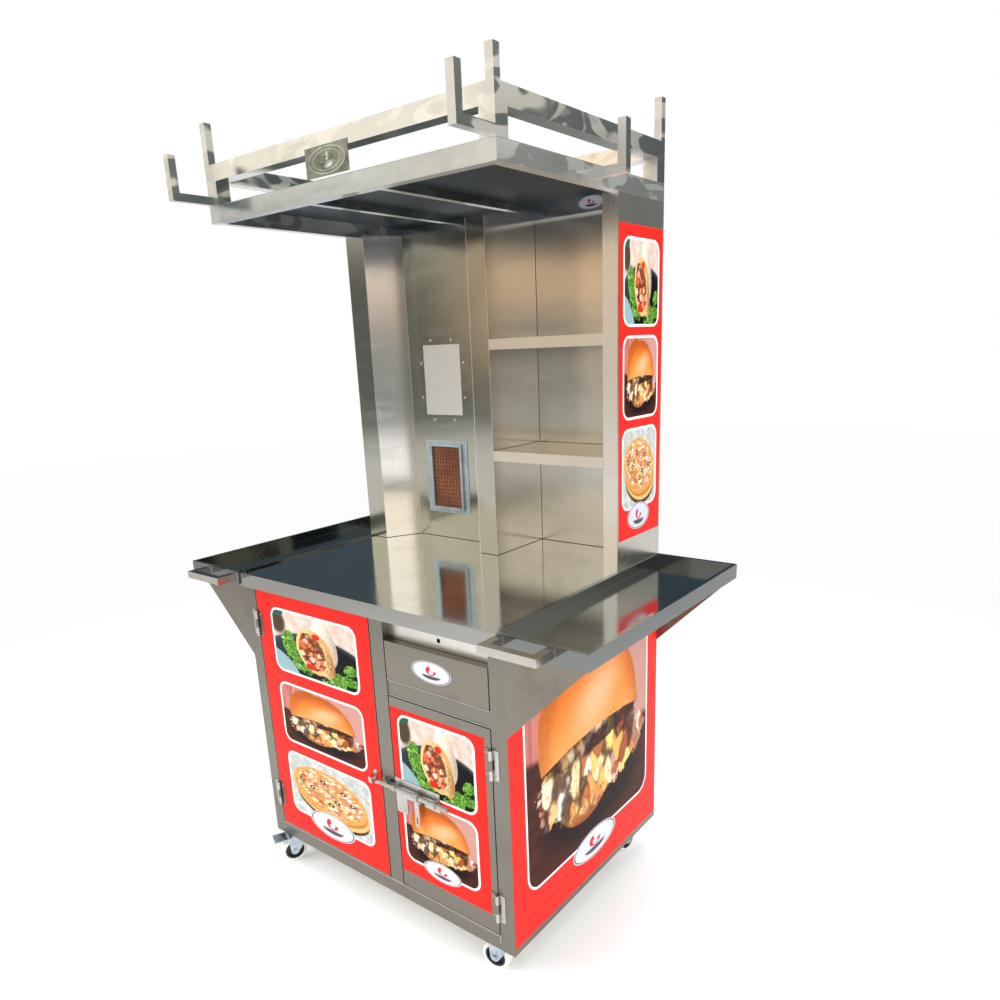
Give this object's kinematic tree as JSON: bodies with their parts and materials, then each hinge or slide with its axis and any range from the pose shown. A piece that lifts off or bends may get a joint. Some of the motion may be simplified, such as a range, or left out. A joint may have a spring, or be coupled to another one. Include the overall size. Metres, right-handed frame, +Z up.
{
  "type": "push vending cart",
  "caption": "Stainless food vending cart with doors and drawer, side trays, a burner bay with reflector, shelves, a roof rack and swivel casters.",
  "frame": {"origin": "on the floor under the middle of the cart's overall box", "axes": "+Z up, -Y towards the side with the doors and push handles, +X towards the shelves and the small door"},
  "size_m": [1.364, 0.798, 2.0565],
  "materials": {
    "frame_steel": "brushed square tube",
    "sheet_steel": "brushed sheet",
    "bright_steel": "near-mirror polished sheet",
    "inner_steel": "plain sheet",
    "door_steel": "brushed sheet",
    "hinge_steel": "satin",
    "bolt_steel": "polished round bar",
    "red_film": "printed film",
    "plate_brass": "etched",
    "burner_steel": "blue-grey heat-tinted steel",
    "tile": "matt ceramic tile",
    "mesh_wire": "dark wire",
    "gas_brass": "turned",
    "knob_plastic": "moulded",
    "zinc": "bluish zinc plate",
    "tyre_rubber": "white non-marking rubber",
    "hub_plastic": "moulded"
  },
  "bodies": {
    "cart": {"base_frame": "frame_steel", "floor_sheet": "inner_steel", "back_panel": "sheet_steel", "side_panels": "sheet_steel", "partition": "inner_steel", "lock_panel": "inner_steel", "drawer_runners": "inner_steel", "countertop": "bright_steel", "tray_left": "sheet_steel", "tray_right": "sheet_steel", "gussets": "sheet_steel", "push_handles": "frame_steel", "upper_posts": "frame_steel", "upper_side_panels": "sheet_steel", "upper_back": "sheet_steel", "reflector": "bright_steel", "shelf_strip": "sheet_steel", "shelves": "inner_steel", "blank_plate": "sheet_steel", "burner_frame": "burner_steel", "burner_tile": "tile", "burner_mesh": "mesh_wire", "burner_housing": "inner_steel", "gas_valve": "gas_brass", "canopy_frame": "frame_steel", "roof_sheet": "sheet_steel", "rack_posts": "frame_steel", "rack_rails": "frame_steel", "hooks": "frame_steel", "name_plate": "plate_brass", "wall_films": "red_film", "door_fittings": "hinge_steel", "bolt_saddle": "bolt_steel", "burner_screws": "hinge_steel", "caster_plates": "zinc"},
    "left_door": {"left_door_panel": "door_steel", "left_door_film": "red_film", "bolt_keeper": "bolt_steel"},
    "right_door": {"right_door_panel": "door_steel", "right_door_film": "red_film", "latch_plate": "hinge_steel"},
    "bolt": {"bolt_rod": "bolt_steel"},
    "hasp": {"bolt_hasp": "bolt_steel"},
    "drawer": {"drawer_box": "inner_steel", "drawer_front": "door_steel"},
    "knob": {"gas_knob": "knob_plastic"},
    "caster_front_left": {"fork_front_left": "zinc"},
    "wheel_front_left": {"tyre_front_left": "tyre_rubber", "hub_front_left": "hub_plastic"},
    "brake_front_left": {"pedal_front_left": "zinc"},
    "caster_front_right": {"fork_front_right": "zinc"},
    "wheel_front_right": {"tyre_front_right": "tyre_rubber", "hub_front_right": "hub_plastic"},
    "caster_rear_left": {"fork_rear_left": "zinc"},
    "wheel_rear_left": {"tyre_rear_left": "tyre_rubber", "hub_rear_left": "hub_plastic"},
    "caster_rear_right": {"fork_rear_right": "zinc"},
    "wheel_rear_right": {"tyre_rear_right": "tyre_rubber", "hub_rear_right": "hub_plastic"},
    "brake_rear_right": {"pedal_rear_right": "zinc"}
  },
  "joints": [
    {"name": "left_door_hinge", "type": "hinge", "parent": "cart", "child": "left_door", "pos_m": [-0.414, -0.3206, 0.4635], "axis": [0, 0, -1], "range_deg": [0, 110]},
    {"name": "right_door_hinge", "type": "hinge", "parent": "cart", "child": "right_door", "pos_m": [0.414, -0.3206, 0.4635], "axis": [0, 0, 1], "range_deg": [0, 110]},
    {"name": "bolt_slide", "type": "slide", "parent": "right_door", "child": "bolt", "axis": [-1, 0, 0], "range_m": [-0.01, 0.031]},
    {"name": "hasp_pivot", "type": "hinge", "parent": "bolt", "child": "hasp", "pos_m": [0.176, -0.328, 0.44], "axis": [-1, 0, 0], "range_deg": [0, 120]},
    {"name": "drawer_slide", "type": "slide", "parent": "cart", "child": "drawer", "axis": [0, -1, 0], "range_m": [0, 0.35]},
    {"name": "gas_knob_turn", "type": "hinge", "parent": "cart", "child": "knob", "pos_m": [-0.197, 0.3355, 0.957], "axis": [0, 1, 0], "range_deg": [0, 90]},
    {"name": "swivel_front_left", "type": "hinge", "parent": "cart", "child": "caster_front_left", "pos_m": [-0.399, -0.27, 0.09], "axis": [0, 0, 1], "continuous": true},
    {"name": "roll_front_left", "type": "hinge", "parent": "caster_front_left", "child": "wheel_front_left", "pos_m": [-0.41215, -0.29696, 0.0375], "axis": [0.8988, -0.4384, 0], "continuous": true},
    {"name": "brake_front_left", "type": "hinge", "parent": "caster_front_left", "child": "brake_front_left", "pos_m": [-0.41697, -0.30685, 0.0805], "axis": [0.8988, -0.4384, 0], "range_deg": [0, 15]},
    {"name": "swivel_front_right", "type": "hinge", "parent": "cart", "child": "caster_front_right", "pos_m": [0.399, -0.27, 0.09], "axis": [0, 0, 1], "continuous": true},
    {"name": "roll_front_right", "type": "hinge", "parent": "caster_front_right", "child": "wheel_front_right", "pos_m": [0.36929, -0.27418, 0.0375], "axis": [0.1392, -0.9903, 0], "continuous": true},
    {"name": "swivel_rear_left", "type": "hinge", "parent": "cart", "child": "caster_rear_left", "pos_m": [-0.399, 0.354, 0.09], "axis": [0, 0, 1], "continuous": true},
    {"name": "roll_rear_left", "type": "hinge", "parent": "caster_rear_left", "child": "wheel_rear_left", "pos_m": [-0.40626, 0.32489, 0.0375], "axis": [0.9703, -0.2419, 0], "continuous": true},
    {"name": "swivel_rear_right", "type": "hinge", "parent": "cart", "child": "caster_rear_right", "pos_m": [0.399, 0.354, 0.09], "axis": [0, 0, 1], "continuous": true},
    {"name": "roll_rear_right", "type": "hinge", "parent": "caster_rear_right", "child": "wheel_rear_right", "pos_m": [0.39482, 0.32429, 0.0375], "axis": [0.9903, -0.1392, 0], "continuous": true},
    {"name": "brake_rear_right", "type": "hinge", "parent": "caster_rear_right", "child": "brake_rear_right", "pos_m": [0.39329, 0.3134, 0.0805], "axis": [0.9903, -0.1392, 0], "range_deg": [0, 15]}
  ]
}
